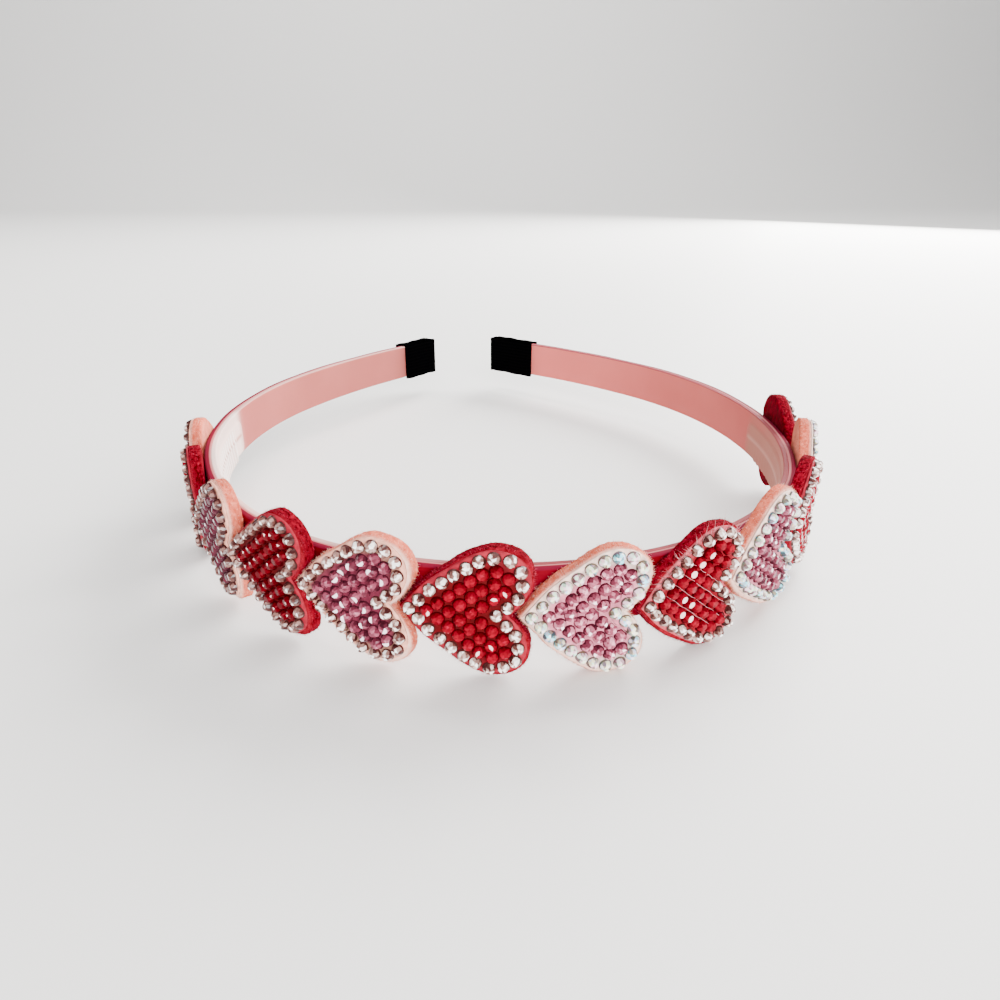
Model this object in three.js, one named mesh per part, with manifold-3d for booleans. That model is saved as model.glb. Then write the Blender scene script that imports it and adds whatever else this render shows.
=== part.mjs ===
// Heart headband lying on a table: an open oval plastic band with a satin ribbon on its outer face,
// two tape end caps and twelve thick felt hearts, each with a border row of cut stones.
// Millimetres, +Z up, the middle of the heart row towards -Y, the two tips of the band towards +Y.

import * as THREE from 'three';
import { mergeVertices } from 'three/addons/utils/BufferGeometryUtils.js';
import Module from 'manifold-3d';

const wasm = await Module();
wasm.setup();

// Plan of the band's inner face, one half of it from the front middle to a tip
const frontRadius = 57.5;
const frontAngle = 62;
const sideRadius = 84;
const sideAngle = 61;
const tailRadius = 158;
const tailAngle = 13.5;
const tipStraight = 17.1;

// Plastic band
const bandHeight = 10;
const bandThickness = 1.1;
const bandSteps = 46;

// Raised comb pad moulded on the inner face of the crown part
const padThickness = 0.5;
const padHeight = 7;
const padBottom = 0.4;
const padLeftSteps = 14;
const padRightSteps = 12;
const padRoot = 0.5;

// Satin ribbon on the outer face
const ribbonThickness = 1;
const ribbonHeight = 10;
const ribbonEndInset = 0.2;

// Black tape folded round each tip
const capThickness = 1;
const capHeight = 11;
const capLeg = 14;

// Small gap between pieces that lie against each other
const seatGap = 0.2;
const foldGap = 0.3;

// Felt hearts, lying sideways with the tip towards -X and the two lobes towards +X
const feltLength = 19.3;
const feltHeight = 21.2;
const feltThickness = 2.2;
const feltSideSteps = 10;

// Row of hearts: each tip sits in the notch before it, so the pitch follows the felt's length
const heartNesting = 0.882;
const heartPitch = heartNesting * feltLength;
const heartRowMiddle = -5;
const heartDrop = 1.2;

// Glue film under the stones, inside the edge of the felt and a little above its middle
const filmThickness = 0.3;
const filmMargin = 0.5;
const filmRise = 0.3;
const filmSideSteps = 8;

// Border row of stones, set in from the felt's tip, lobes and sides
const rowTipInset = 1.7;
const rowLobeInset = 1.7;
const rowSideInset = 1.55;
const rowLength = feltLength - rowTipInset - rowLobeInset;
const rowHeight = feltHeight - 2 * rowSideInset;
const stonesPerSide = 12;
const stoneDiameter = 1.9;
const stoneTable = 0.95;
const stoneHeight = 1;
const stoneSides = 8;
const stoneRoot = 0.2;

// Half outline of the felt heart from its tip to its notch, as shares of length and half height
const feltShape = [
  { along: 0, across: 0 },
  { along: 0.185, across: 0.408 },
  { along: 0.368, across: 0.677 },
  { along: 0.57, across: 0.928 },
  { along: 0.7, across: 1 },
  { along: 0.87, across: 0.943 },
  { along: 0.985, across: 0.727 },
  { along: 1, across: 0.478 },
  { along: 0.94, across: 0.21 },
  { along: 0.84, across: 0 },
];

// Half line of the border stones from the tip stone to the notch stone, as shares in the same way
const rowShape = [
  { along: 0, across: 0 },
  { along: 0.184, across: 0.36 },
  { along: 0.395, across: 0.66 },
  { along: 0.617, across: 0.93 },
  { along: 0.745, across: 1 },
  { along: 0.89, across: 0.96 },
  { along: 0.99, across: 0.79 },
  { along: 1, across: 0.56 },
  { along: 0.97, across: 0.335 },
  { along: 0.784, across: 0 },
];

// The twelve hearts from the -X side to the +X side: shift along the row as a share of the pitch,
// rise as a share of the felt's height and turn in the heart's own plane in degrees
const hearts = [
  { name: 'heart_01', felt: 'pink', stones: 'clear', shift: -0.3, rise: -0.02, turn: 3 },
  { name: 'heart_02', felt: 'red', stones: 'clear', shift: -0.25, rise: -0.01, turn: 1 },
  { name: 'heart_03', felt: 'pink', stones: 'clear', shift: 0.07, rise: 0.03, turn: 4 },
  { name: 'heart_04', felt: 'red', stones: 'clear', shift: 0.05, rise: 0.04, turn: -1 },
  { name: 'heart_05', felt: 'pink', stones: 'clear', shift: 0.022, rise: 0.04, turn: -2.2 },
  { name: 'heart_06', felt: 'red', stones: 'clear', shift: 0, rise: 0.02, turn: -2.5 },
  { name: 'heart_07', felt: 'pink', stones: 'aurora', shift: -0.02, rise: -0.018, turn: -2.5 },
  { name: 'heart_08', felt: 'red', stones: 'clear', shift: -0.03, rise: -0.016, turn: 1.5 },
  { name: 'heart_09', felt: 'pink', stones: 'aurora', shift: -0.055, rise: 0.024, turn: 4 },
  { name: 'heart_10', felt: 'red', stones: 'clear', shift: -0.08, rise: 0.04, turn: -2.6 },
  { name: 'heart_11', felt: 'pink', stones: 'aurora', shift: 0.05, rise: 0.09, turn: 1.4 },
  { name: 'heart_12', felt: 'red', stones: 'clear', shift: 0.2, rise: 0.1, turn: -10 },
];

// The two end caps: the tape's leg on the inner face and its leg on the ribbon, as shares of capLeg
const caps = [
  { name: 'end_cap_left', side: -1, innerLeg: 0.886, outerLeg: 0.921 },
  { name: 'end_cap_right', side: 1, innerLeg: 1.1, outerLeg: 1.079 },
];

const planArcs = [
  { name: 'front', radius: frontRadius, angle: frontAngle },
  { name: 'side', radius: sideRadius, angle: sideAngle },
  { name: 'tail', radius: tailRadius, angle: tailAngle },
];

// Length of the plan's arcs and of half the band, along a line set off outwards from the inner face
function arcsLength(offset) {
  let length = 0;
  for (const arc of planArcs) {
    length += (arc.radius + offset) * THREE.MathUtils.degToRad(arc.angle);
  }
  return length;
}

// Point and heading on the plan: station runs along the offset line from the front middle
function planAt(station, offset) {
  const side = station < 0 ? -1 : 1;
  let left = Math.abs(station);
  let heading = 0;
  let x = 0;
  let y = -offset;
  for (const arc of planArcs) {
    const radius = arc.radius + offset;
    const step = Math.min(left, radius * THREE.MathUtils.degToRad(arc.angle));
    const turned = heading + step / radius;
    x += radius * (Math.sin(turned) - Math.sin(heading));
    y += radius * (Math.cos(heading) - Math.cos(turned));
    heading = turned;
    left -= step;
  }
  x += left * Math.cos(heading);
  y += left * Math.sin(heading);
  return { x: side * x, y, heading: side * heading };
}

// Point on an offset line straight across from a station of the inner face
function acrossFrom(station, offset) {
  const base = planAt(station, 0);
  return new THREE.Vector2(
    base.x + offset * Math.sin(base.heading),
    base.y - offset * Math.cos(base.heading),
  );
}

// Stations of the curved part, evenly spaced, then the two straight tips
const curvedHalf = arcsLength(0);
const bandHalf = curvedHalf + tipStraight;

function curvedStations() {
  const stations = [];
  for (let step = 0; step <= bandSteps; step += 1) {
    stations.push(curvedHalf * (2 * step / bandSteps - 1));
  }
  return stations;
}

// Upright strip that follows the plan between two offsets, standing on the height given
function stripGeometry(stations, innerOffset, outerOffset, height, bottom) {
  const inner = stations.map((station) => acrossFrom(station, innerOffset));
  const outer = stations.map((station) => acrossFrom(station, outerOffset));
  const outline = new THREE.Shape([...inner, ...outer.reverse()]);
  const geometry = new THREE.ExtrudeGeometry(outline, { depth: height, bevelEnabled: false });
  geometry.translate(0, 0, bottom);
  return geometry;
}

// Closed solid of a mesh, ready to be joined
function solidOf(geometry) {
  const bare = geometry.clone();
  bare.deleteAttribute('normal');
  bare.deleteAttribute('uv');
  const merged = mergeVertices(bare);
  return new wasm.Manifold(new wasm.Mesh({
    numProp: 3,
    vertProperties: new Float32Array(merged.attributes.position.array),
    triVerts: new Uint32Array(merged.index.array),
  }));
}

// Mesh of a joined solid, its flat faces in as few triangles as they need
function geometryOf(solid) {
  const mesh = solid.asOriginal().simplify(0.001).getMesh();
  const geometry = new THREE.BufferGeometry();
  geometry.setAttribute('position', new THREE.BufferAttribute(mesh.vertProperties, 3));
  geometry.setIndex(new THREE.BufferAttribute(mesh.triVerts, 1));
  geometry.computeVertexNormals();
  return geometry;
}

// Materials
function plasticMaterial() {
  return new THREE.MeshStandardMaterial({ color: 0xd8c3b8, roughness: 0.25, metalness: 0 });
}

function ribbonMaterial() {
  return new THREE.MeshStandardMaterial({ color: 0xa80f34, roughness: 0.4, metalness: 0 });
}

function tapeMaterial() {
  return new THREE.MeshStandardMaterial({ color: 0x17161a, roughness: 0.85, metalness: 0 });
}

function feltMaterial(colour) {
  const colours = { pink: 0xf2c9bd, red: 0xc41730 };
  return new THREE.MeshStandardMaterial({ color: colours[colour], roughness: 0.95, metalness: 0 });
}

function stoneMaterial(kind) {
  const colours = { clear: 0xe6e4ea, aurora: 0xc9e3ea };
  return new THREE.MeshStandardMaterial({ color: colours[kind], roughness: 0.12, metalness: 0.1 });
}

function namedMesh(name, geometry, material) {
  const mesh = new THREE.Mesh(geometry, material);
  mesh.name = name;
  return mesh;
}

// Plastic band with the comb pad fused to its inner face
function bandCore() {
  const curved = curvedStations();
  const stations = [-bandHalf, ...curved, bandHalf];
  const middle = bandSteps / 2;
  const padStations = curved.slice(middle - padLeftSteps, middle + padRightSteps + 1);
  const strip = stripGeometry(stations, 0, bandThickness, bandHeight, 0);
  const pad = stripGeometry(
    padStations, -padThickness, Math.min(padRoot, bandThickness / 2), padHeight, padBottom,
  );
  return namedMesh('band_core', geometryOf(solidOf(strip).add(solidOf(pad))), plasticMaterial());
}

// Ribbon: a cloth strip on the outer face, as long as the band less a little at each tip
const ribbonInner = bandThickness + seatGap;
const ribbonOuter = ribbonInner + ribbonThickness;

function ribbon() {
  const end = bandHalf - ribbonEndInset;
  const stations = [-end, ...curvedStations(), end];
  const bottom = (bandHeight - ribbonHeight) / 2;
  const geometry = stripGeometry(stations, ribbonInner, ribbonOuter, ribbonHeight, bottom);
  return namedMesh('ribbon', geometry, ribbonMaterial());
}

// End cap: tape folded round the tip, one leg on the inner face and one on the ribbon
function endCap(cap) {
  const innerFace = -seatGap;
  const outerFace = ribbonOuter + seatGap;
  const fold = bandHalf + foldGap;
  const corners = [
    { station: bandHalf - cap.innerLeg * capLeg, offset: innerFace },
    { station: bandHalf - cap.innerLeg * capLeg, offset: innerFace - capThickness },
    { station: fold + capThickness, offset: innerFace - capThickness },
    { station: fold + capThickness, offset: outerFace + capThickness },
    { station: bandHalf - cap.outerLeg * capLeg, offset: outerFace + capThickness },
    { station: bandHalf - cap.outerLeg * capLeg, offset: outerFace },
    { station: fold, offset: outerFace },
    { station: fold, offset: innerFace },
  ];
  const outline = corners.map((corner) => acrossFrom(cap.side * corner.station, corner.offset));
  const geometry = new THREE.ExtrudeGeometry(new THREE.Shape(outline), {
    depth: capHeight,
    bevelEnabled: false,
  });
  geometry.translate(0, 0, (bandHeight - capHeight) / 2);
  return namedMesh(cap.name, geometry, tapeMaterial());
}

// Even points on one half of a heart, from the tip on the axis to the notch on the axis
function halfPoints(shape, length, height, tip, steps) {
  const rows = shape.map((row) => new THREE.Vector3(
    tip + row.along * length,
    row.across * height / 2,
    0,
  ));
  return new THREE.CatmullRomCurve3(rows).getSpacedPoints(steps);
}

// Whole heart as a closed ring of points, with one point at the tip and one at the notch
function heartRing(shape, length, height, tip, steps) {
  const upper = halfPoints(shape, length, height, tip, steps);
  const lower = upper.slice(1, -1).reverse();
  return [
    ...upper.map((point) => new THREE.Vector2(point.x, point.y)),
    ...lower.map((point) => new THREE.Vector2(point.x, -point.y)),
  ];
}

function feltGeometry() {
  const ring = heartRing(feltShape, feltLength, feltHeight, -feltLength / 2, feltSideSteps);
  return new THREE.ExtrudeGeometry(new THREE.Shape(ring), { depth: feltThickness, bevelEnabled: false });
}

// One cut stone: an eight-sided crown that narrows to a flat table
function stoneGeometry(place) {
  const geometry = new THREE.CylinderGeometry(
    stoneTable / 2, stoneDiameter / 2, stoneHeight + stoneRoot, stoneSides,
  );
  geometry.rotateX(Math.PI / 2);
  const middle = filmThickness - stoneRoot + (stoneHeight + stoneRoot) / 2;
  geometry.translate(place.x, place.y, middle);
  return geometry;
}

// Glue film with the border row of stones fused to it
function stonesGeometry() {
  const filmLength = feltLength - 2 * filmMargin;
  const filmHeight = feltHeight - 2 * filmMargin;
  const filmRing = heartRing(feltShape, filmLength, filmHeight, -filmLength / 2, filmSideSteps);
  const film = new THREE.ExtrudeGeometry(new THREE.Shape(filmRing), {
    depth: filmThickness,
    bevelEnabled: false,
  });
  const rowTip = rowTipInset - feltLength / 2;
  let solid = solidOf(film);
  for (const place of heartRing(rowShape, rowLength, rowHeight, rowTip, stonesPerSide + 1)) {
    solid = solid.add(solidOf(stoneGeometry(place)));
  }
  return geometryOf(solid);
}

// A heart stands upright against the ribbon and touches it along the middle of its back
const heartBack = ribbonOuter + seatGap;

function heart(row, index, felt, stones) {
  const fromMiddle = index - (hearts.length - 1) / 2;
  const station = heartRowMiddle + heartPitch * (fromMiddle + row.shift);
  const place = planAt(station, heartBack);
  const seat = new THREE.Group();
  seat.position.set(place.x, place.y, bandHeight / 2 - heartDrop + row.rise * feltHeight);
  seat.rotation.z = place.heading;
  const upright = new THREE.Group();
  upright.rotation.x = Math.PI / 2;
  const turned = new THREE.Group();
  turned.rotation.z = THREE.MathUtils.degToRad(row.turn);
  const feltMesh = namedMesh(`${row.name}_felt`, felt, feltMaterial(row.felt));
  const stonesMesh = namedMesh(`${row.name}_stones`, stones, stoneMaterial(row.stones));
  stonesMesh.position.set(0, filmRise, feltThickness + seatGap);
  turned.add(feltMesh, stonesMesh);
  upright.add(turned);
  seat.add(upright);
  return seat;
}

// The whole headband, its box centred on the origin and standing on the floor
const headband = new THREE.Group();
headband.add(bandCore(), ribbon(), ...caps.map(endCap));
const felt = feltGeometry();
const stones = stonesGeometry();
for (const [index, row] of hearts.entries()) {
  headband.add(heart(row, index, felt, stones));
}
headband.updateMatrixWorld(true);
const box = new THREE.Box3().setFromObject(headband, true);
const middle = box.getCenter(new THREE.Vector3());
headband.position.set(-middle.x, -middle.y, -box.min.z);

export default headband;
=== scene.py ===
# Heart headband, dressed: strip, ribbon, tapes, felt hearts and cut stones on the shared frame.
# Metres throughout; sizes in the dictionaries are millimetres and are turned to metres by mm.
import bpy
import math
import numpy as np
from mathutils import Matrix, Vector


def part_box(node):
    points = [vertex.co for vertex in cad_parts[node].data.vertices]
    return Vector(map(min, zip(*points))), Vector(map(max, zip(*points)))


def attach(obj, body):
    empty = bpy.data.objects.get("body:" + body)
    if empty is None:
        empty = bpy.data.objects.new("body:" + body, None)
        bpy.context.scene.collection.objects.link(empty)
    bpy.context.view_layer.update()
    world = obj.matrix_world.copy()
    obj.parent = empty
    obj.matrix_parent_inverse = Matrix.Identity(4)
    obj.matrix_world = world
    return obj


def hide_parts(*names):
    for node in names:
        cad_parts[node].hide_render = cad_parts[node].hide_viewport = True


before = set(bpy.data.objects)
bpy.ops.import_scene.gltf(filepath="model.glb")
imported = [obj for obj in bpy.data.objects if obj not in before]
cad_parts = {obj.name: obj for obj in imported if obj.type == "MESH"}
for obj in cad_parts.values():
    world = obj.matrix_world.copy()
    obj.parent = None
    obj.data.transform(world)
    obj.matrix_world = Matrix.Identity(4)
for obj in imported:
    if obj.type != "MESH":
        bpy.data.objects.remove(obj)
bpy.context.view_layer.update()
mm = 0.001
print("frame loaded")

# Plan of the band's inner face: arcs from the front middle to a tip, then a straight end
plan = {
    "radii": (57.5, 84.0, 158.0),
    "sweeps": (62.0, 61.0, 13.5),       # degrees
    "tipStraight": 17.1,
    "bandHeight": 10.0,
    "bandThickness": 1.1,
    "ribbonThickness": 1.0,
    "seatGap": 0.2,
}
arcRadii = np.array(plan["radii"])
arcSweeps = np.radians(np.array(plan["sweeps"]))
bandHalf = float((arcRadii * arcSweeps).sum()) + plan["tipStraight"]
bandLow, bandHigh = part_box("band_core")
planMiddle = (bandLow[0] + bandHigh[0]) / 2 / mm
planFront = bandLow[1] / mm + plan["bandThickness"]
bandBottom = bandLow[2] / mm
ribbonInner = plan["bandThickness"] + plan["seatGap"]
ribbonOuter = ribbonInner + plan["ribbonThickness"]
heartBack = ribbonOuter + plan["seatGap"]


def planAt(station, offset):
    # walks the arcs: each adds radius times the change of sine and cosine of the heading
    station = np.asarray(station, float)
    side = np.where(station < 0, -1.0, 1.0)
    left = np.abs(station)
    heading = np.zeros_like(left)
    x = np.zeros_like(left)
    y = np.zeros_like(left) - offset
    for radius, sweep in zip(arcRadii + offset, arcSweeps):
        step = np.minimum(left, radius * sweep)
        turned = heading + step / radius
        x = x + radius * (np.sin(turned) - np.sin(heading))
        y = y + radius * (np.cos(heading) - np.cos(turned))
        heading = turned
        left = left - step
    x = x + left * np.cos(heading)
    y = y + left * np.sin(heading)
    return side * x, y, side * heading


def bandPoints(station, offset, height):
    # point straight across from a station of the inner face: place plus offset along the outward normal
    station, offset, height = np.broadcast_arrays(station, offset, height)
    x, y, heading = planAt(station, 0.0)
    x = x + offset * np.sin(heading)
    y = y - offset * np.cos(heading)
    return np.stack([x + planMiddle, y + planFront, height + bandBottom], -1)


def newPiece(name, points, faces, material, values=None, faceted=False):
    # points in millimetres and faces become one object at the origin; a faceted piece has flat faces and
    # values for its faces, and any other is smooth with values for its points
    mesh = bpy.data.meshes.new(name)
    mesh.from_pydata(np.asarray(points, float) * mm, [], faces)
    mesh.polygons.foreach_set("use_smooth", np.full(len(mesh.polygons), not faceted))
    for key, numbers in (values or {}).items():
        layer = mesh.attributes.new(key, "FLOAT", "FACE" if faceted else "POINT")
        layer.data.foreach_set("value", np.asarray(numbers, np.float32).ravel())
    mesh.materials.append(material)
    mesh.update()
    piece = bpy.data.objects.new(name, mesh)
    bpy.context.scene.collection.objects.link(piece)
    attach(piece, "root")
    return piece


def gridFaces(rows, columns, closedRows=False, closedColumns=False, start=0):
    # quads between neighbouring rows and columns of a grid of points
    i = np.arange(rows if closedRows else rows - 1)[:, None]
    j = np.arange(columns if closedColumns else columns - 1)[None, :]
    i2 = (i + 1) % rows
    j2 = (j + 1) % columns
    quads = np.stack([i * columns + j, i2 * columns + j, i2 * columns + j2, i * columns + j2], -1)
    return quads.reshape(-1, 4) + start


def sweptPiece(name, grid, material, values=None):
    # grid is stations by profile points: the profile closes on itself and both ends are capped
    rows, columns = grid.shape[:2]
    faces = gridFaces(rows, columns, closedColumns=True).tolist()
    faces.append(list(range(columns)))
    faces.append([(rows - 1) * columns + k for k in range(columns - 1, -1, -1)])
    values = {key: np.broadcast_to(numbers, (rows, columns)) for key, numbers in (values or {}).items()}
    return newPiece(name, grid.reshape(-1, 3), faces, material, values)


def spikeFaces(first, total):
    # three sides and the foot of each spike, whose points are three of the foot and then the tip
    sides = np.array([[0, 1, 3], [1, 2, 3], [2, 0, 3], [0, 2, 1]])
    return (first + 4 * np.arange(total)[:, None, None] + sides).reshape(-1, 3).tolist()


def unitOf(vectors):
    return vectors / np.linalg.norm(vectors, axis=-1, keepdims=True)


def smoothStep(low, high, value):
    # 0 below low, 1 above high, and the cubic 3t2 - 2t3 between
    t = np.clip((value - low) / (high - low), 0.0, 1.0)
    return t * t * (3.0 - 2.0 * t)


def roundedBar(thickness, height, radius, sideRows, cornerSteps):
    # closed profile of a bar: (depth, rise) from the inner face up, over the top, down and under, each side
    # followed by the quarter circle of its corner
    turn = math.pi - np.linspace(0.0, math.pi / 2, cornerSteps + 1)[1:-1]
    rise = np.linspace(radius, height - radius, sideRows)
    across = np.linspace(radius, thickness - radius, 6)
    far, top = thickness - radius, height - radius
    sides = [(0.0 * rise, rise, radius, top), (across, 0.0 * across + height, far, top),
             (0.0 * rise + thickness, rise[::-1], far, radius), (across[::-1], 0.0 * across, radius, radius)]
    profile = []
    for k, (depths, rises, middleDepth, middleRise) in enumerate(sides):
        angle = turn - k * math.pi / 2
        corner = np.stack([middleDepth + radius * np.cos(angle), middleRise + radius * np.sin(angle)], -1)
        profile += [np.stack([depths, rises], -1), corner]
    return np.concatenate(profile)


# Materials

def newMaterial(name, gloss, roughness=0.5):
    material = bpy.data.materials.new(name)
    material.use_nodes = True
    tree = material.node_tree
    shader = tree.nodes["Principled BSDF"]
    feed(tree, shader, {"Specular IOR Level": gloss, "Roughness": roughness})
    return material, tree, shader


def feed(tree, node, values):
    # numbers and colours are set on the node's own sockets, patterns are linked to them
    for key, value in values.items():
        socket = node.inputs[key]
        if isinstance(value, bpy.types.NodeSocket):
            tree.links.new(value, socket)
        else:
            socket.default_value = (*value, 1.0) if socket.type == "RGBA" else value


def objectPlace(tree, scale=(1.0, 1.0, 1.0)):
    coordinates = tree.nodes.new("ShaderNodeTexCoord")
    mapping = tree.nodes.new("ShaderNodeMapping")
    feed(tree, mapping, {"Vector": coordinates.outputs["Object"], "Scale": scale})
    return mapping.outputs["Vector"]


def noiseOf(tree, place, scale, detail=3.0, rough=0.5):
    noise = tree.nodes.new("ShaderNodeTexNoise")
    feed(tree, noise, {"Vector": place, "Scale": scale, "Detail": detail, "Roughness": rough})
    return noise.outputs["Fac"]


def threadsOf(tree, place, perMetre, distortion):
    # waves up the height, one for each thread
    wave = tree.nodes.new("ShaderNodeTexWave")
    wave.bands_direction = "Z"
    feed(tree, wave, {"Vector": place, "Scale": perMetre / 6.28, "Distortion": distortion})
    return wave.outputs["Fac"]


def rampOf(tree, value, stops):
    # stops are (place, colour) or (place, grey)
    ramp = tree.nodes.new("ShaderNodeValToRGB")
    elements = ramp.color_ramp.elements
    while len(elements) < len(stops):
        elements.new(0.5)
    for element, (at, colour) in zip(elements, stops):
        element.position = at
        element.color = (*colour, 1.0) if isinstance(colour, tuple) else (colour, colour, colour, 1.0)
    tree.links.new(value, ramp.inputs["Fac"])
    return ramp.outputs["Color"]


def mixOf(tree, share, first, second, kind="MIX"):
    # a Mix node's colours are its sockets 6 and 7, and the mixed one is its output 2
    mix = tree.nodes.new("ShaderNodeMix")
    mix.data_type = "RGBA"
    mix.blend_type = kind
    feed(tree, mix, {"Factor": share, 6: first, 7: second})
    return mix.outputs[2]


def attributeOf(tree, name):
    node = tree.nodes.new("ShaderNodeAttribute")
    node.attribute_name = name
    return node.outputs["Fac"]


def layersOf(tree, body, layers):
    # each attribute is the share by which its colour covers what lies below
    for share, colour in layers.items():
        body = mixOf(tree, attributeOf(tree, share), body, colour)
    return body


def bumpOf(tree, height, strength, distance):
    bump = tree.nodes.new("ShaderNodeBump")
    feed(tree, bump, {"Height": height, "Strength": strength, "Distance": distance})
    return bump.outputs["Normal"]


stripLook = {
    "armColour": (0.58, 0.135, 0.12),     # ribbon showing through the thin plastic
    # painted shade: the left arm is painted darker than the right one, where less light falls on it
    "leftArmShadeColour": (0.41, 0.115, 0.10),
    "padColour": (0.45, 0.18, 0.14),      # thicker plastic of the crown part
    # painted light: the crown's left half, pad and rim, is painted paler where the light falls on it
    "leftLitColour": (0.88, 0.66, 0.60),     # its left half, paler
    "ridgeColour": (0.56, 0.27, 0.22),
    # painted shade: the strip's top rim is painted darker than the plastic below, against the light on the
    # top edge; on the left half it takes the painted light colour
    "rimShadeColour": (0.19, 0.03, 0.045),
    "tipColour": (0.001, 0.001, 0.0012),  # black where the tape folds over the edge
    # painted highlight on the teeth's crests, on the lit left half only
    "toothHighlightColour": (1.0, 0.90, 0.86),
    "gloss": 0.005,
    "cloudScale": 55.0,        # of the patterns, in waves to the metre
    "scuffScale": 700.0,
    "grainScale": 300.0,
    "lightInside": 0.2,        # share of the light that goes into the plastic
}


def stripMaterial():
    look = stripLook
    material, tree, shader = newMaterial("band_plastic", look["gloss"])
    place = objectPlace(tree)
    # the left half takes painted shade on the arm and painted light on the pad and rim
    leftSide = attributeOf(tree, "leftSideShare")
    body = layersOf(tree, mixOf(tree, leftSide, look["armColour"], look["leftArmShadeColour"]), {
        "padShare": mixOf(tree, leftSide, look["padColour"], look["leftLitColour"]),
        "ridgeShare": look["ridgeColour"],
        "rimShare": mixOf(tree, leftSide, look["rimShadeColour"], look["leftLitColour"]),
        "toothHighlightShare": look["toothHighlightColour"],
        "tipShare": look["tipColour"]})
    tone = rampOf(tree, noiseOf(tree, place, look["cloudScale"]), [(0.3, (0.88, 0.86, 0.86)), (0.7, 1.0)])
    scuff = noiseOf(tree, objectPlace(tree, (1.0, 1.0, 6.0)), look["scuffScale"], 4.0)
    feed(tree, shader, {
        "Base Color": mixOf(tree, 1.0, body, tone, "MULTIPLY"),
        "Roughness": rampOf(tree, scuff, [(0.35, 0.4), (0.75, 0.52)]),
        "Subsurface Weight": look["lightInside"],
        "Subsurface Radius": (1.0, 0.5, 0.4),
        "Subsurface Scale": 0.001,
        "Normal": bumpOf(tree, noiseOf(tree, place, look["grainScale"]), 0.12, 0.0001)})
    return material


ribbonLook = {
    "deep": (0.105, 0.0, 0.003),
    "bright": (0.155, 0.001, 0.010),
    "edge": (0.13, 0.006, 0.02),
    "glue": (0.44, 0.15, 0.15),           # pale glue between the ribbon's edge and the strip
    "roughness": 0.5,
    "gloss": 0.005,
    "sheen": 0.06,
    "cloudScale": 90.0,
    "threadsPerMetre": 3200.0,
}


def ribbonMaterial():
    look = ribbonLook
    material, tree, shader = newMaterial("ribbon_satin", look["gloss"], look["roughness"])
    place = objectPlace(tree)
    cloud = noiseOf(tree, place, look["cloudScale"])
    thread = threadsOf(tree, place, look["threadsPerMetre"], 1.5)
    feed(tree, shader, {
        "Base Color": layersOf(tree, rampOf(tree, cloud, [(0.3, look["deep"]), (0.75, look["bright"])]), {
            "edgeShare": look["edge"], "glueShare": look["glue"], "tipShare": stripLook["tipColour"]}),
        "Specular Tint": (1.0, 0.25, 0.35),
        "Sheen Weight": look["sheen"],
        "Sheen Roughness": 0.35,
        "Sheen Tint": (1.0, 0.12, 0.2),
        "Normal": bumpOf(tree, thread, 0.35, 0.00008)})
    return material


tapeLook = {
    "deep": (0.0002, 0.0002, 0.0003),
    "bright": (0.0011, 0.001, 0.0012),
    "roughness": 0.9,
    "ribsPerMetre": 1900.0,
    "grainScale": 2600.0,
}


def tapeMaterial():
    look = tapeLook
    material, tree, shader = newMaterial("cap_tape", 0.0, look["roughness"])
    place = objectPlace(tree)
    rib = threadsOf(tree, place, look["ribsPerMetre"], 2.0)
    grain = mixOf(tree, 1.0, rib, noiseOf(tree, place, look["grainScale"]), "MULTIPLY")
    feed(tree, shader, {
        "Base Color": rampOf(tree, grain, [(0.0, look["deep"]), (0.7, look["bright"])]),
        "Normal": bumpOf(tree, grain, 0.6, 0.00015)})
    return material


feltLook = {
    # the walls are painted darker than the faces: painted shade on the felt's cut sides, streaked at random
    # between wall and wallLight
    "red": {"face": (0.27, 0.008, 0.02), "faceDeep": (0.13, 0.001, 0.004), "wall": (0.055, 0.0, 0.001),
            "wallLight": (0.26, 0.0005, 0.015), "fibre": (0.78, 0.08, 0.15)},
    "pink": {"face": (0.93, 0.63, 0.52), "faceDeep": (0.86, 0.46, 0.35), "wall": (0.53, 0.090, 0.050),
             "wallLight": (0.77, 0.20, 0.125), "fibre": (0.96, 0.72, 0.62)},
    "roughness": 0.95,
    "gloss": 0.02,
    "tuftScale": 1100.0,
    "streakScale": 1900.0,     # drawn out along the height
    "cloudScale": 180.0,
}


def feltMaterial(kind):
    look = feltLook[kind]
    material, tree, shader = newMaterial("felt_" + kind, feltLook["gloss"], feltLook["roughness"])
    place = objectPlace(tree)
    tuft = noiseOf(tree, place, feltLook["tuftScale"], 4.0, 0.65)
    streak = noiseOf(tree, objectPlace(tree, (1.0, 1.0, 0.35)), feltLook["streakScale"], 3.0, 0.6)
    cloud = noiseOf(tree, place, feltLook["cloudScale"], 2.0)
    # painted shade: the sides, marked by wallShare, take the darker wall colours
    body = layersOf(tree, rampOf(tree, tuft, [(0.34, look["faceDeep"]), (0.58, look["face"])]), {
        "wallShare": rampOf(tree, streak, [(0.38, look["wall"]), (0.66, look["wallLight"])]),
        "fibreShare": look["fibre"]})
    feed(tree, shader, {
        "Base Color": mixOf(tree, 1.0, body, rampOf(tree, cloud, [(0.35, 0.82), (0.65, 1.0)]), "MULTIPLY"),
        "Normal": bumpOf(tree, tuft, 1.0, 0.0004)})
    return material


# ramps from a facet's glint to its colour: painted reflections from dark to white; the top stops of red and
# rose are painted sparkles
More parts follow.
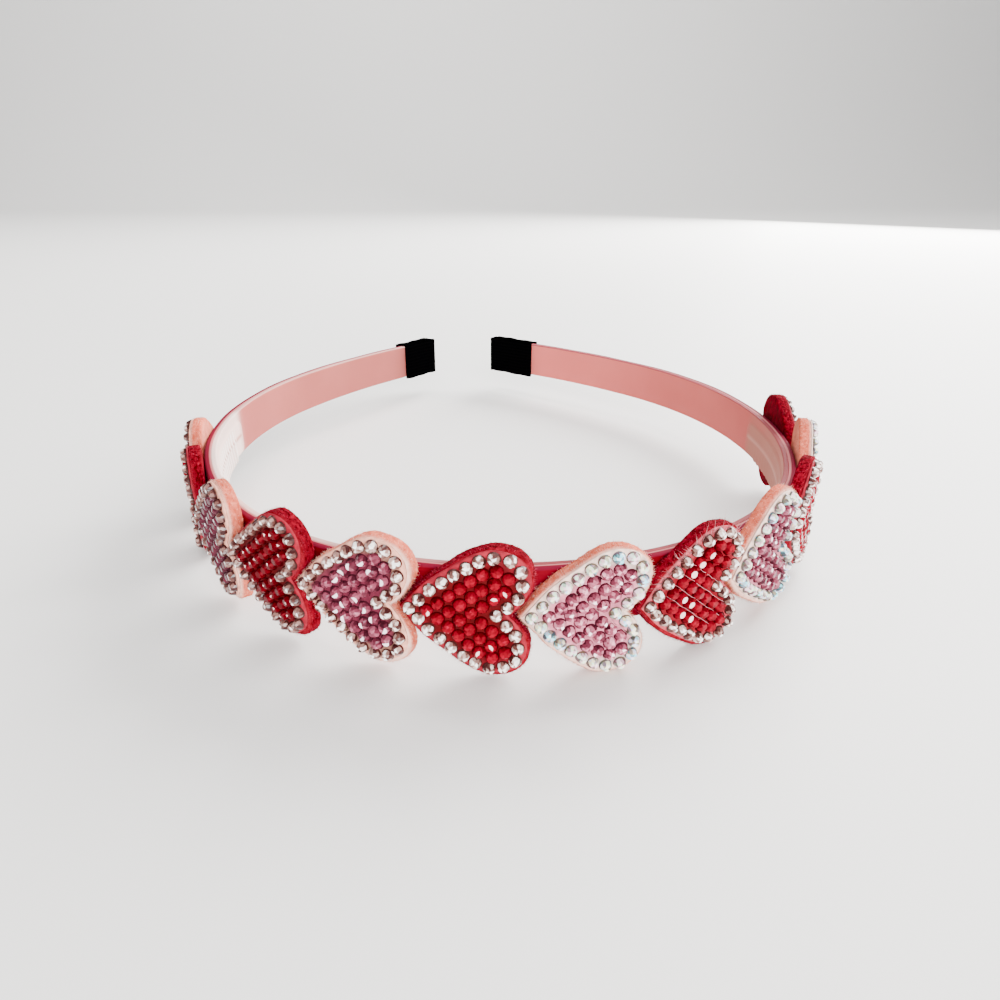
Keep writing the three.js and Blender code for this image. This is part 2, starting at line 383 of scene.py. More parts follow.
stoneLook = {
    "clear": [(0.0, (0.035, 0.006, 0.006)), (0.2, (0.10, 0.036, 0.030)), (0.45, (0.25, 0.130, 0.110)),
              (0.65, (0.48, 0.33, 0.29)), (0.82, (0.90, 0.81, 0.76)), (1.0, (1.0, 1.0, 0.98))],
    "aurora": [(0.0, (0.10, 0.065, 0.065)), (0.25, (0.26, 0.215, 0.21)), (0.45, (0.50, 0.46, 0.45)),
               (0.65, (0.82, 0.80, 0.79)), (1.0, (1.0, 1.0, 1.0))],
    "red": [(0.0, (0.030, 0.0, 0.001)), (0.3, (0.105, 0.0, 0.004)), (0.6, (0.24, 0.0, 0.011)),
            (0.93, (0.42, 0.001, 0.040)), (0.95, (1.0, 0.62, 0.58))],
    "rose": [(0.0, (0.035, 0.004, 0.009)), (0.3, (0.12, 0.018, 0.034)), (0.6, (0.29, 0.066, 0.105)),
             (0.85, (0.60, 0.21, 0.28)), (0.93, (0.74, 0.34, 0.41)), (0.95, (1.0, 0.82, 0.88))],
    "rainbow": [(0.0, (0.28, 0.86, 1.0)), (0.2, (0.70, 0.68, 1.0)), (0.4, (1.0, 0.96, 0.88)),
                (0.6, (1.0, 0.92, 0.56)), (0.8, (0.62, 1.0, 0.80)), (1.0, (1.0, 0.68, 0.80))],
    "roughness": 0.08,
    "gloss": {"clear": 0.4, "aurora": 0.3, "red": 0.16, "rose": 0.25},
    "glossTint": {"clear": (1.0, 1.0, 1.0), "aurora": (1.0, 1.0, 1.0), "red": (1.0, 0.10, 0.15),
                  "rose": (1.0, 0.62, 0.75)},
}


def stoneMaterial(kind):
    # each facet has its own glint value, a painted reflection: the ramp paints it pale or dark in place of
    # what the foil behind the glass would mirror
    material, tree, shader = newMaterial("stones_" + kind, stoneLook["gloss"][kind], stoneLook["roughness"])
    colour = rampOf(tree, attributeOf(tree, "glint"), stoneLook[kind])
    if kind == "aurora":
        tint = rampOf(tree, attributeOf(tree, "tint"), stoneLook["rainbow"])
        colour = mixOf(tree, 1.0, colour, tint, "MULTIPLY")
    feed(tree, shader, {"Base Color": colour, "Specular Tint": stoneLook["glossTint"][kind]})
    return material


filmLook = {
    "red": {"inside": (0.085, 0.0, 0.0015), "row": (0.14, 0.003, 0.008), "rim": (0.32, 0.014, 0.030)},
    "frosted": {"inside": (0.20, 0.003, 0.010), "row": (0.38, 0.035, 0.05), "rim": (0.54, 0.085, 0.105)},
    "plum": {"inside": (0.13, 0.016, 0.034), "row": (0.26, 0.12, 0.09), "rim": (0.92, 0.42, 0.31)},
    "pink": {"inside": (0.62, 0.19, 0.26), "row": (0.62, 0.44, 0.40), "rim": (0.95, 0.66, 0.56)},
    "roughness": 0.6,
    "gloss": 0.08,
    "stainScale": 800.0,
    "lumpScale": 900.0,
}


def filmMaterial(kind):
    # glue: clear over the felt at the rim, a greyer, browner tone between the border stones, coloured between
    # the inner ones
    look = filmLook[kind]
    material, tree, shader = newMaterial("film_" + kind, filmLook["gloss"], filmLook["roughness"])
    place = objectPlace(tree)
    body = layersOf(tree, look["inside"], {"rowShare": look["row"], "rimShare": look["rim"]})
    stain = rampOf(tree, noiseOf(tree, place, filmLook["stainScale"], 4.0), [(0.35, 0.6), (0.62, 1.0)])
    feed(tree, shader, {
        "Base Color": mixOf(tree, 1.0, body, stain, "MULTIPLY"),
        "Normal": bumpOf(tree, noiseOf(tree, place, filmLook["lumpScale"]), 0.6, 0.0003)})
    return material


strandLook = {
    "heart_07": (0.80, 0.36, 0.40),
    "heart_08": (0.82, 0.33, 0.35),
    "toneScale": 1500.0,
    "roughness": 0.5,
    "gloss": 0.3,
}


def strandMaterial(name):
    material, tree, shader = newMaterial("strand_" + name, strandLook["gloss"], strandLook["roughness"])
    tone = rampOf(tree, noiseOf(tree, objectPlace(tree), strandLook["toneScale"]),
                  [(0.3, (0.55, 0.5, 0.5)), (0.65, 1.0)])
    feed(tree, shader, {"Base Color": mixOf(tree, 1.0, strandLook[name], tone, "MULTIPLY")})
    return material


# Plastic strip with the comb pad and its fine teeth, one grid of stations by profile points
strip = {
    "cornerRadius": 0.26,
    "sideRows": 34,
    "cornerSteps": 4,
    "padLeft": 114.5,          # the comb pad's ends along the inner face, from the front middle
    "padRight": 98.5,
    "padLow": 0.3,
    "padHigh": 7.9,
    "padCorner": 1.8,
    "padDepth": 0.3,
    "ridgeHeight": 4.6,
    "ridgeWidth": 0.45,
    "ridgeDepth": 0.16,
    "toothPitch": 2.1,
    "toothDepth": 0.55,
    "toothTop": 7.4,
    "toothWear": 0.05,         # depth left of the teeth on the right half
    "toothHang": 0.4,          # how far the teeth's ends stand below the strip
    "toothInset": 6.5,         # from the pad's end to the last tooth
    "tapeSink": 0.7,           # how far the edges draw in under the tapes
    "tapeLegs": (12.0, 14.6),  # from the left and the right tip to where the tapes' shorter legs end
    "fineStep": 0.235,
    "armStep": 1.6,
}


def tipShareOf(station):
    # 1 under the tapes, 0 elsewhere
    leg = np.where(station < 0, *strip["tapeLegs"])
    return smoothStep(0.0, 0.5, np.abs(station) - (bandHalf - leg))


def makeStrip(material):
    # depth = profile depth, less the pad's rounded rectangle, a ridge along it and the row of teeth
    fine = np.arange(-strip["padLeft"] - 1.0, strip["padRight"] + 1.0, strip["fineStep"])
    leftArm = -np.arange(strip["padLeft"] + 1.2, bandHalf - 0.4, strip["armStep"])[::-1]
    rightArm = np.arange(strip["padRight"] + 1.2, bandHalf - 0.4, strip["armStep"])
    stations = np.concatenate([[-bandHalf], leftArm, fine, rightArm, [bandHalf]])
    profile = roundedBar(plan["bandThickness"], plan["bandHeight"], strip["cornerRadius"],
                         strip["sideRows"], strip["cornerSteps"])
    depth, rise = profile.T[:, None]
    s = stations[:, None]
    corner, low, high = strip["padCorner"], strip["padLow"], strip["padHigh"]
    padHalf = (strip["padRight"] + strip["padLeft"]) / 2
    fromMiddle = np.abs(s - (strip["padRight"] - strip["padLeft"]) / 2)
    beyond = np.maximum(fromMiddle - (padHalf - corner), 0.0)
    above = np.maximum(np.abs(rise - (high + low) / 2) - ((high - low) / 2 - corner), 0.0)
    inside = corner - np.hypot(beyond, above)
    innerSide = 1.0 - smoothStep(0.0, 0.4, depth)
    pad = smoothStep(-0.2, 0.25, inside) * innerSide
    ridge = np.exp(-((rise - strip["ridgeHeight"]) / strip["ridgeWidth"]) ** 2)
    ridge = ridge * smoothStep(1.0, 3.0, inside + 1.0) * innerSide
    bump = np.maximum(np.cos(2 * math.pi * s / strip["toothPitch"]), 0.0) ** 0.6
    teeth = bump * (1.0 - smoothStep(0.6, strip["toothTop"], rise) * 0.85) * (rise < strip["toothTop"])
    lastTooth = padHalf - strip["toothInset"]
    teeth = teeth * (1.0 - smoothStep(0.0, 1.0, fromMiddle - lastTooth)) * (1.0 - smoothStep(0.1, 0.6, depth))
    hang = strip["toothHang"] * teeth * (1.0 - smoothStep(0.2, 0.9, rise))
    # share of the left half: painted light on the crown's pad and rim, painted shade on the arm, and deeper
    # teeth
    leftSideShare = 1.0 - smoothStep(-80.0, 0.0, s)
    relief = teeth * (strip["toothWear"] + (1.0 - strip["toothWear"]) * leftSideShare)
    depth = depth - strip["padDepth"] * pad - strip["ridgeDepth"] * ridge - strip["toothDepth"] * relief
    sunk = strip["tapeSink"] * tipShareOf(s) * (rise / plan["bandHeight"] - 0.5) * 2
    grid = bandPoints(s, depth, rise - hang - sunk)
    crown = 1.0 - smoothStep(padHalf - 3.0, padHalf + 2.0, fromMiddle)
    margin = 0.5 + 0.4 * (1.0 - smoothStep(padHalf - 16.0, padHalf - 6.0, fromMiddle))
    margin = np.where(s < 0, 0.9, margin)
    padShare = (margin + (1.0 - margin) * smoothStep(-0.3, 0.3, inside)) * crown
    # painted shade on the top rim, less of it on the left half
    rimShare = smoothStep(-0.28, -0.05, rise - plan["bandHeight"]) * (0.85 - 0.5 * leftSideShare)
    # painted highlight: the teeth's crests are painted pale, on the left half only
    toothHighlightShare = np.minimum(bump * (teeth > 0.0), 1.0) * leftSideShare
    piece = sweptPiece("plastic_strip", grid, material, {
        "padShare": padShare, "rimShare": rimShare, "leftSideShare": leftSideShare, "tipShare": tipShareOf(s),
        "ridgeShare": ridge, "toothHighlightShare": toothHighlightShare})
    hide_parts("band_core")


# Satin ribbon glued on the outer face
ribbon = {
    "endInset": 0.2,
    "height": 10.0,
    "edgeRadius": 0.32,
    "glueDepth": 0.08,         # the glue shows on the edge's inner part
    "glueReach": 0.42,         # the glue fills the gap to the strip and grips its edge
    "sideRows": 14,
    "cornerSteps": 4,
    "step": 1.2,
    "swell": 0.10,
    "wander": 0.10,
}


def makeRibbon(material):
    # outer face swells by a half sine over its height, and the edges wander by slow sines of station
    end = bandHalf - ribbon["endInset"]
    s = np.linspace(-end, end, int(2 * end / ribbon["step"]))[:, None]
    profile = roundedBar(plan["ribbonThickness"] + ribbon["glueReach"], ribbon["height"],
                         ribbon["edgeRadius"], ribbon["sideRows"], ribbon["cornerSteps"])
    depth, rise = (profile - [ribbon["glueReach"], 0.0]).T[:, None]
    swell = ribbon["swell"] * np.sin(math.pi * rise / ribbon["height"]) * smoothStep(0.4, 0.9, depth)
    wander = ribbon["wander"] * (np.sin(s / 9.0) + 0.6 * np.sin(s / 3.7 + 1.0))
    wander = wander * (rise / ribbon["height"] - 0.5)
    low = (plan["bandHeight"] - ribbon["height"]) / 2
    sunk = strip["tapeSink"] * tipShareOf(s) * (rise / ribbon["height"] - 0.5) * 2
    grid = bandPoints(s, ribbonInner + depth + swell, low + rise + wander - sunk)
    rim = 1.0 - smoothStep(0.08, 0.36, np.minimum(rise, ribbon["height"] - rise))
    outerPart = smoothStep(ribbon["glueDepth"] - 0.1, ribbon["glueDepth"] + 0.1, depth)
    piece = sweptPiece("satin_ribbon", grid, material, {
        "edgeShare": rim * outerPart, "glueShare": rim * (1.0 - outerPart), "tipShare": tipShareOf(s)})
    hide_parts("ribbon")


# Black tape folded round a tip
tape = {
    "thickness": 1.0,
    "height": 11.0,
    "edgeRadius": 0.3,
    "cornerRadius": 1.1,
    "foldGap": 0.3,
    "sideRows": 14,
    "cornerSteps": 4,
    "wander": 0.16,            # of the cut edges
    "legs": {"end_cap_left": (-1, 12.4, 12.9), "end_cap_right": (1, 15.4, 15.1)},
}


def makeTape(name, material):
    # middle line of the tape: inner leg, rounded fold past the tip, outer leg; the bar profile follows it
    side, innerLeg, outerLeg = tape["legs"][name]
    halfThick = tape["thickness"] / 2
    nearFace = -plan["seatGap"] - halfThick
    farFace = ribbonOuter + plan["seatGap"] + halfThick
    fold = bandHalf + tape["foldGap"] + halfThick
    radius = tape["cornerRadius"] - halfThick
    turn = np.linspace(0.0, math.pi / 2, 7)
    innerS = np.linspace(bandHalf - innerLeg, fold - radius, 12, endpoint=False)
    outerS = np.linspace(fold - radius, bandHalf - outerLeg, 13)[1:]
    line = np.concatenate([
        np.stack([innerS, np.full_like(innerS, nearFace)], -1),
        np.stack([fold - radius + radius * np.sin(turn), nearFace + radius - radius * np.cos(turn)], -1),
        np.stack([fold - radius + radius * np.cos(turn), farFace - radius + radius * np.sin(turn)], -1),
        np.stack([outerS, np.full_like(outerS, farFace)], -1),
    ])
    along = unitOf(np.gradient(line, axis=0))
    across = np.stack([-along[:, 1], along[:, 0]], -1)          # towards the band
    profile = roundedBar(tape["thickness"], tape["height"], tape["edgeRadius"], tape["sideRows"],
                         tape["cornerSteps"])
    depth, rise = (profile - [halfThick, 0.0]).T[:, None]
    s = line[:, 0:1] - across[:, 0:1] * depth
    offset = line[:, 1:2] - across[:, 1:2] * depth
    low = (plan["bandHeight"] - tape["height"]) / 2
    run = np.arange(len(line))[:, None] / 4.0
    wander = tape["wander"] * (np.sin(2.1 * run) + np.sin(5.3 * run + side)) * (rise / tape["height"] - 0.5)
    grid = bandPoints(side * s, offset, low + rise + wander)
    if side > 0:
        grid = grid[:, ::-1]
    piece = sweptPiece(name.replace("end_cap", "tape"), grid, material)
    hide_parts(name)


# Felt hearts, laid out in their own plane: along from tip to lobes, across, and out from the ribbon
heart = {
    "nesting": 0.882,          # pitch as a share of the felt's length
    "rowMiddle": -5.0,
    "drop": 1.2,
    "feltLength": 19.3,
    "feltHeight": 21.2,
    "feltThickness": 2.2,
    "filmThickness": 0.3,
    "filmMargin": 0.5,
    "filmRise": 0.3,
    "rowTipInset": 1.7,
    "rowLobeInset": 1.7,
    "rowSideInset": 1.55,
    "edgeRadius": 0.55,
    "outlineSteps": 96,
    "middle": 0.6,             # of the shrinking outlines, along
    "waves": [(3, 0.09), (5, 0.06), (8, 0.05), (13, 0.03)],     # of the cut edge: how many, how high
    "nap": 0.035,              # roughness of the felt
    "fibres": 1800,
    "fibreLength": (0.15, 0.6),
    "fibreWidth": 0.02,
    "floorGap": 0.02,
}
# shift is a share of the pitch, rise of the felt's height, turn is in degrees; borderPaintedLight and
# innerPaintedLight scale the stones' painted reflections, low on the left-side hearts as painted shade;
# a glint is a painted highlight on a share of the inner stones, so many facets wide
heartColumns = ("name", "felt", "border", "glue", "shift", "rise", "turn",
                "borderPaintedLight", "innerPaintedLight", "glintShare", "glintFacets")
heartRows = [dict(zip(heartColumns, values)) for values in (
    ("heart_01", "pink", "clear", "plum", -0.3, -0.02, 3.0, 0.8, 0.7, 0.2, 2),
    ("heart_02", "red", "clear", "red", -0.25, -0.01, 1.0, 0.75, 0.7, 0.2, 2),
    ("heart_03", "pink", "clear", "plum", 0.07, 0.03, 4.0, 0.43, 0.21, 0.1, 2),
    ("heart_04", "red", "clear", "red", 0.05, 0.04, -1.0, 0.53, 0.29, 0.6, 1),
    ("heart_05", "pink", "clear", "plum", 0.022, 0.04, -2.2, 0.9, 0.68, 0.8, 4),
    ("heart_06", "red", "clear", "red", 0.0, 0.02, -2.5, 1.02, 0.74, 0.2, 3),
    ("heart_07", "pink", "aurora", "pink", -0.02, -0.018, -2.5, 1.08, 1.0, 0.4, 2),
    ("heart_08", "red", "clear", "frosted", -0.03, -0.016, 1.5, 0.88, 0.7, 0.26, 8),
    ("heart_09", "pink", "aurora", "pink", -0.055, 0.024, 4.0, 0.98, 0.7, 0.45, 3),
    ("heart_10", "red", "clear", "red", -0.08, 0.04, -2.6, 1.0, 0.8, 0.4, 3),
    ("heart_11", "pink", "aurora", "pink", 0.05, 0.09, 1.4, 1.0, 0.8, 0.3, 2),
    ("heart_12", "red", "clear", "red", 0.2, 0.1, -10.0, 1.0, 0.7, 0.2, 2),
)]
innerStones = {"red": "red", "pink": "rose"}           # by the felt's colour
filmBase = heart["feltThickness"] + plan["seatGap"]
stoneBase = filmBase + heart["filmThickness"]
# half outlines from tip to notch: along as a share of the length, across as a share of half the height
feltShape = np.array([(0, 0), (0.185, 0.408), (0.368, 0.677), (0.57, 0.928), (0.7, 1.0), (0.87, 0.943),
                      (0.985, 0.727), (1.0, 0.478), (0.94, 0.21), (0.84, 0)], float)
rowShape = np.array([(0, 0), (0.184, 0.36), (0.395, 0.66), (0.617, 0.93), (0.745, 1.0), (0.89, 0.96),
                     (0.99, 0.79), (1.0, 0.56), (0.97, 0.335), (0.784, 0)], float)


def smoothLine(points, steps):
    # centripetal Catmull-Rom line through the points, sampled and then spaced evenly by length
    extended = np.concatenate([[2 * points[0] - points[1]], points, [2 * points[-1] - points[-2]]])
    p0, p1, p2, p3 = extended[:-3], extended[1:-2], extended[2:-1], extended[3:]
    d0 = np.linalg.norm(p1 - p0, axis=1)[:, None] ** 0.5
    d1 = np.linalg.norm(p2 - p1, axis=1)[:, None] ** 0.5
    d2 = np.linalg.norm(p3 - p2, axis=1)[:, None] ** 0.5
    t1 = ((p1 - p0) / d0 - (p2 - p0) / (d0 + d1) + (p2 - p1) / d1) * d1
    t2 = ((p2 - p1) / d1 - (p3 - p1) / (d1 + d2) + (p3 - p2) / d2) * d1
    u = np.linspace(0, 1, 41)[None, :-1, None]
    a, b, m, n = p1[:, None], p2[:, None], t1[:, None], t2[:, None]
    line = (2 * u**3 - 3 * u**2 + 1) * a + (3 * u**2 - 2 * u**3) * b
    line = line + (u**3 - 2 * u**2 + u) * m + (u**3 - u**2) * n
    line = np.concatenate([line.reshape(-1, 2), points[-1:]])
    length = np.concatenate([[0], np.cumsum(np.hypot(*np.diff(line, axis=0).T))])
    even = np.linspace(0, length[-1], steps + 1)
    return np.stack([np.interp(even, length, line[:, 0]), np.interp(even, length, line[:, 1])], -1)


def heartRing(shape, length, height, tip, steps):
    # half line from tip to notch, mirrored to a closed ring with 2 * steps points
    upper = smoothLine(shape * np.array([length, height / 2]) + np.array([tip, 0.0]), steps)
    lower = upper[1:-1][::-1] * np.array([1.0, -1.0])
    return np.concatenate([upper, lower])


def heartPlacer(index):
    # turns (along, across, out) of one heart into the shared frame
    shift, rise, turn = (heartRows[index][key] for key in ("shift", "rise", "turn"))
    pitch = heart["nesting"] * heart["feltLength"]
    station = heart["rowMiddle"] + pitch * (index - (len(heartRows) - 1) / 2 + shift)
    x, y, heading = planAt(station, heartBack)
    seat = np.array([float(x) + planMiddle, float(y) + planFront,
                     bandBottom + plan["bandHeight"] / 2 - heart["drop"] + rise * heart["feltHeight"]])
    tangent = np.array([math.cos(heading), math.sin(heading), 0.0])
    outward = np.array([math.sin(heading), -math.cos(heading), 0.0])
    up = np.array([0.0, 0.0, 1.0])
    c, s = math.cos(math.radians(turn)), math.sin(math.radians(turn))
    axes = np.stack([tangent * c + up * s, up * c - tangent * s, outward])
    return lambda points: seat + points @ axes


def insidePolygon(points, ring):
    # a point is inside where a ray to +along crosses the ring an odd number of times
    a, b = ring[None, :], np.roll(ring, -1, axis=0)[None, :]
    p = points[:, None]
    spans = (a[..., 1] > p[..., 1]) != (b[..., 1] > p[..., 1])
    rise = np.where(b[..., 1] == a[..., 1], 1e-9, b[..., 1] - a[..., 1])
    crossing = a[..., 0] + (p[..., 1] - a[..., 1]) / rise * (b[..., 0] - a[..., 0])
    return (spans & (p[..., 0] < crossing)).sum(axis=1) % 2 == 1


def makeFelt(index, material, rng):
    # rings of the outline, shrunk towards the heart's middle: back, wall, rounded edge, flat face
    name, kind = heartRows[index]["name"], heartRows[index]["felt"]
    outline = heartRing(feltShape, heart["feltLength"], heart["feltHeight"], -heart["feltLength"] / 2,
                        heart["outlineSteps"])
    count = len(outline)
    angle = np.linspace(0, 2 * math.pi, count, endpoint=False)[:, None]
    order, swing = np.array(heart["waves"]).T
    wobble = (np.sin(angle * order + rng.uniform(0, 2 * math.pi, 4)) * swing).sum(axis=1)
    along = np.roll(outline, -1, axis=0) - np.roll(outline, 1, axis=0)
    normal = unitOf(np.stack([-along[:, 1], along[:, 0]], -1))
    middle = np.array([heart["middle"], 0.0])
    thick, radius = heart["feltThickness"], heart["edgeRadius"]
    turn = np.linspace(0, math.pi / 2, 5)[1:]
    # inset from the outline, height and wall share of each ring, from the back's middle to the face's
    backRings = [(8.9, 0, 0.85), (6.0, 0, 0.85), (3.0, 0, 0.85), (1.0, 0, 0.85), (0.25, 0, 1), (0, 0.2, 1),
                 (0, 0.7, 1), (0, 1.2, 1), (0, thick - radius, 1)]
    edgeRings = np.stack([radius * (1 - np.cos(turn)), thick - radius + radius * np.sin(turn),
                          [0.8, 0.45, 0.15, 0.0]], -1)
    faceRings = [(inward, thick, 0) for inward in (0.9, 1.6, 3.2, 5.5, 8.9)]
    inset, height, wall = np.concatenate([backRings, edgeRings, faceRings]).T
    share = 1.0 - inset[None, :] / 9.2
    rings = middle + (outline + normal * wobble[:, None] - middle)[:, None, :] * share[:, :, None]
    nap = rng.normal(0, heart["nap"], (count, len(inset)))
    nap[:, 0] = nap[:, -1] = 0
    flat = rings + nap[..., None] * normal[:, None]
    out = height[None, :] + nap * (inset[None, :] > 0.5) * (height[None, :] > 1)
    grid = np.concatenate([flat, out[..., None]], -1)
    columns = grid.shape[1]
    points = grid.reshape(-1, 3)
    faces = gridFaces(count, columns, closedRows=True)[:, ::-1].tolist()
    faces.append([k * columns for k in range(count)])
    faces.append([k * columns + columns - 1 for k in range(count - 1, -1, -1)])
    # the sides and back take the painted shade of the wall colours
    wallShare = np.broadcast_to(wall[None, :], (count, columns)).ravel()

    # nap: thin three-sided spikes standing off the wall and the rim of the face
    total = heart["fibres"]
    pick = rng.integers(0, count, total)
    level = rng.uniform(0, 1, total)
    ringPick = np.where(level < 0.55, rng.integers(5, 10, total), rng.integers(9, 15, total))
    root = grid[pick, ringPick]
    lean = rng.normal(0, 0.5, (total, 3))
    away = np.concatenate([normal[pick], np.zeros((total, 1))], 1) * (ringPick < 12)[:, None]
    away[:, 2] += np.where(ringPick > 9, 0.8, 0.15)
    direction = unitOf(away + lean)
    tipPoint = root + direction * rng.uniform(*heart["fibreLength"], (total, 1))
    sideways = unitOf(np.cross(direction, rng.normal(0, 1, (total, 3)))) * heart["fibreWidth"]
    other = np.cross(direction, sideways)
    spikes = np.stack([root + sideways, root - sideways * 0.5 + other * 0.87,
                       root - sideways * 0.5 - other * 0.87, tipPoint], 1)
    faces += spikeFaces(len(points), total)
    allPoints = heartPlacer(index)(np.concatenate([points, spikes.reshape(-1, 3)]))
    allPoints[:, 2] = np.maximum(allPoints[:, 2], heart["floorGap"])        # nothing sinks into the floor
    share = np.concatenate([wallShare, np.repeat(wall[ringPick] * 0.6, 4)])
    fibre = np.concatenate([np.zeros(len(points)), np.repeat(rng.uniform(0.2, 1.0, total) ** 2, 4)])
    piece = newPiece(name + "_cloth", allPoints, faces, material, {"wallShare": share, "fibreShare": fibre})
    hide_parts(name + "_felt")


# Cut stones: girdle, crown facets and a table, all flat faces
stone = {
    "perSide": 12,
    "borderDiameter": 1.92,
    "borderHeight": 1.0,
    "innerDiameter": 2.04,
    "innerHeight": 0.95,
    "firstInset": 2.7,         # from the border row's tip to the first inner stone
    "spacing": 2.06,           # least distance between the middles of neighbours
    "slant": 41.0,             # degrees between the rows of inner stones and the heart's axis
    "tilt": 5.0,               # degrees, spread of each stone's lean
    # contrast between the facets of a stone's painted reflections, and how much painted shade its dark side
    # gets
    "contrast": {"clear": 0.38, "aurora": 0.34, "red": 0.11, "rose": 0.24},
    "shade": {"clear": 0.38, "aurora": 0.30, "red": 0.14, "rose": 0.30},
    # painted highlight: share of border stones with a painted bright spot and how many facets it covers
    "borderGlint": (0.7, 2),   # share of stones with a bright spot and how many facets it covers
    "sink": 0.06,              # into the film
}


def cutShape():
    # rings of sixteen, sixteen, eight, eight and one point: skirt, girdle, crown, table, middle
    wide = np.linspace(0, 2 * math.pi, 16, endpoint=False)
    crown = np.linspace(0, 2 * math.pi, 8, endpoint=False) + math.pi / 8
    table = np.linspace(0, 2 * math.pi, 8, endpoint=False)
    ringOf = lambda angles, radius, height: np.stack(
        [radius * np.cos(angles), radius * np.sin(angles), np.full(len(angles), height)], -1)
    points = np.concatenate([ringOf(wide, 1.07, 0.0), ringOf(wide, 0.96, 0.30), ringOf(crown, 0.80, 0.72),
                             ringOf(table, 0.56, 1.0), [[0.0, 0.0, 1.0]]])
    faces = []
    for k in range(16):
        k2 = (k + 1) % 16
        faces.append([k, k2, 16 + k2, 16 + k])
    for k in range(8):
        k2 = (k + 1) % 8
        mid, before = 32 + k, 32 + (k - 1) % 8
        faces += [[16 + 2 * k, 16 + 2 * k + 1, mid], [16 + 2 * k + 1, 16 + (2 * k + 2) % 16, mid],
                  [16 + 2 * k, mid, 40 + k, before], [40 + k, mid, 40 + k2], [40 + k, 40 + k2, 48]]
    faces.append(list(range(15, -1, -1)))
    return points, faces


cutPoints, cutFaces = cutShape()


def stoneCloud(places, diameter, height, base, rng):
    # every stone is the cut shape scaled, spun about its axis, leaned a little and set on its place
    count = len(places)
    spin = rng.uniform(0, 2 * math.pi, count)
    size = diameter / 2 * rng.uniform(0.96, 1.03, count)
    shape = cutPoints[None] * np.stack([size, size, np.full(count, height)], -1)[:, None]
    c, s = np.cos(spin)[:, None], np.sin(spin)[:, None]
    x = shape[..., 0] * c - shape[..., 1] * s
    y = shape[..., 0] * s + shape[..., 1] * c
    lean = np.radians(rng.normal(0, stone["tilt"], (count, 2)))
    z = shape[..., 2] + x * lean[:, 0:1] + y * lean[:, 1:2]
    x = x - shape[..., 2] * lean[:, 0:1]
    y = y - shape[..., 2] * lean[:, 1:2]
    points = np.stack([x + places[:, 0:1], y + places[:, 1:2], z + base], -1).reshape(-1, 3)
    block = len(cutPoints)
    faces = [[v + block * k for v in face] for k in range(count) for face in cutFaces]
    return points, faces


def facetValues(count, rng, kind, tone, share, facets):
    # glint of a facet, a painted reflection = its ring's value plus a wave round the stone (two waves on the
    # table, three on the crown), less a dark side of painted shade, plus chance
    eighths = np.arange(8)[:, None] * math.pi / 4 + np.array([[0.2, 0.6, 0.0, 0.4, 0.4]])
    turn = np.concatenate([np.linspace(0, 2 * math.pi, 16, endpoint=False), eighths.ravel(), [0.0]])
    # the skirt's sixteen faces get 0.04: a dark outline round each stone, painted shade between the stones
    base = np.concatenate([np.full(16, 0.04), np.tile([0.44, 0.40, 0.60, 0.70, 0.72], 8), [0.0]])
    onTable = base > 0.65
    onStone = base > 0.1
    phase = rng.uniform(0, 2 * math.pi, (count, 3))
    wave = np.where(onTable, np.cos(2 * (turn - phase[:, 0:1])), np.cos(3 * (turn - phase[:, 1:2])))
    shade = stone["shade"][kind] * smoothStep(0.1, 0.9, np.cos(turn - phase[:, 2:3]))
    chance = 0.09 * rng.normal(0, 1.0, (count, len(base))) + rng.normal(0, 0.05, (count, 1))
    glint = base + (stone["contrast"][kind] * wave - shade + chance) * onStone
    # tone is the heart's painted light and shade, scaling all its glints
    glint = np.clip(glint * tone, 0.0, 0.92)
    # painted highlight: on a share of the stones the facets nearest one bearing, the table's first, are set
    # fully bright
    order = np.argsort(-np.cos(turn - 2.0) - 4.0 * (base > 0.71))[:facets]
    lit = rng.uniform(0, 1, count) < share
    glint[np.ix_(np.flatnonzero(lit), order)] = 1.0
    return glint.ravel()


def innerPlaces(row, rng):
    # slanted grid along the heart's flanks inside the border row, bare spots filled, then pushed evenly apart
    u = np.arange(-12, 13)
    i, j = np.meshgrid(u, u)
    slant = math.radians(stone["slant"])
    start = row[0] + np.array([stone["firstInset"], 0.0])
    grid = start + stone["spacing"] * (i[..., None] * np.array([math.cos(slant), math.sin(slant)])
                                       + j[..., None] * np.array([math.cos(slant), -math.sin(slant)]))
    gapTo = lambda points, others: np.linalg.norm(points[:, None] - others[None], axis=2)
    places = grid.reshape(-1, 2)
    places = places[insidePolygon(places, row) & (gapTo(places, row).min(axis=1) > 1.7)]
    x, y = np.meshgrid(np.arange(-9, 9, 0.2), np.arange(-10, 11, 0.2))
    spots = np.stack([x.ravel(), y.ravel()], -1)
    spots = spots[insidePolygon(spots, row) & (gapTo(spots, row).min(axis=1) > 1.6)]
    room = gapTo(spots, places).min(axis=1)
    while room.max() > 1.55:
        places = np.concatenate([places, spots[[room.argmax()]]])
        room = gapTo(spots, places).min(axis=1)
    for step in range(30):
        everyone = np.concatenate([places, row])
        away = places[:, None] - everyone[None]
        distance = np.linalg.norm(away, axis=2)
        push = np.where((distance > 1e-6) & (distance < stone["spacing"]), stone["spacing"] - distance, 0.0)
        places = places + 0.3 * (away / np.maximum(distance, 1e-6)[..., None] * push[..., None]).sum(axis=1)
    return places + rng.normal(0, 0.04, places.shape)


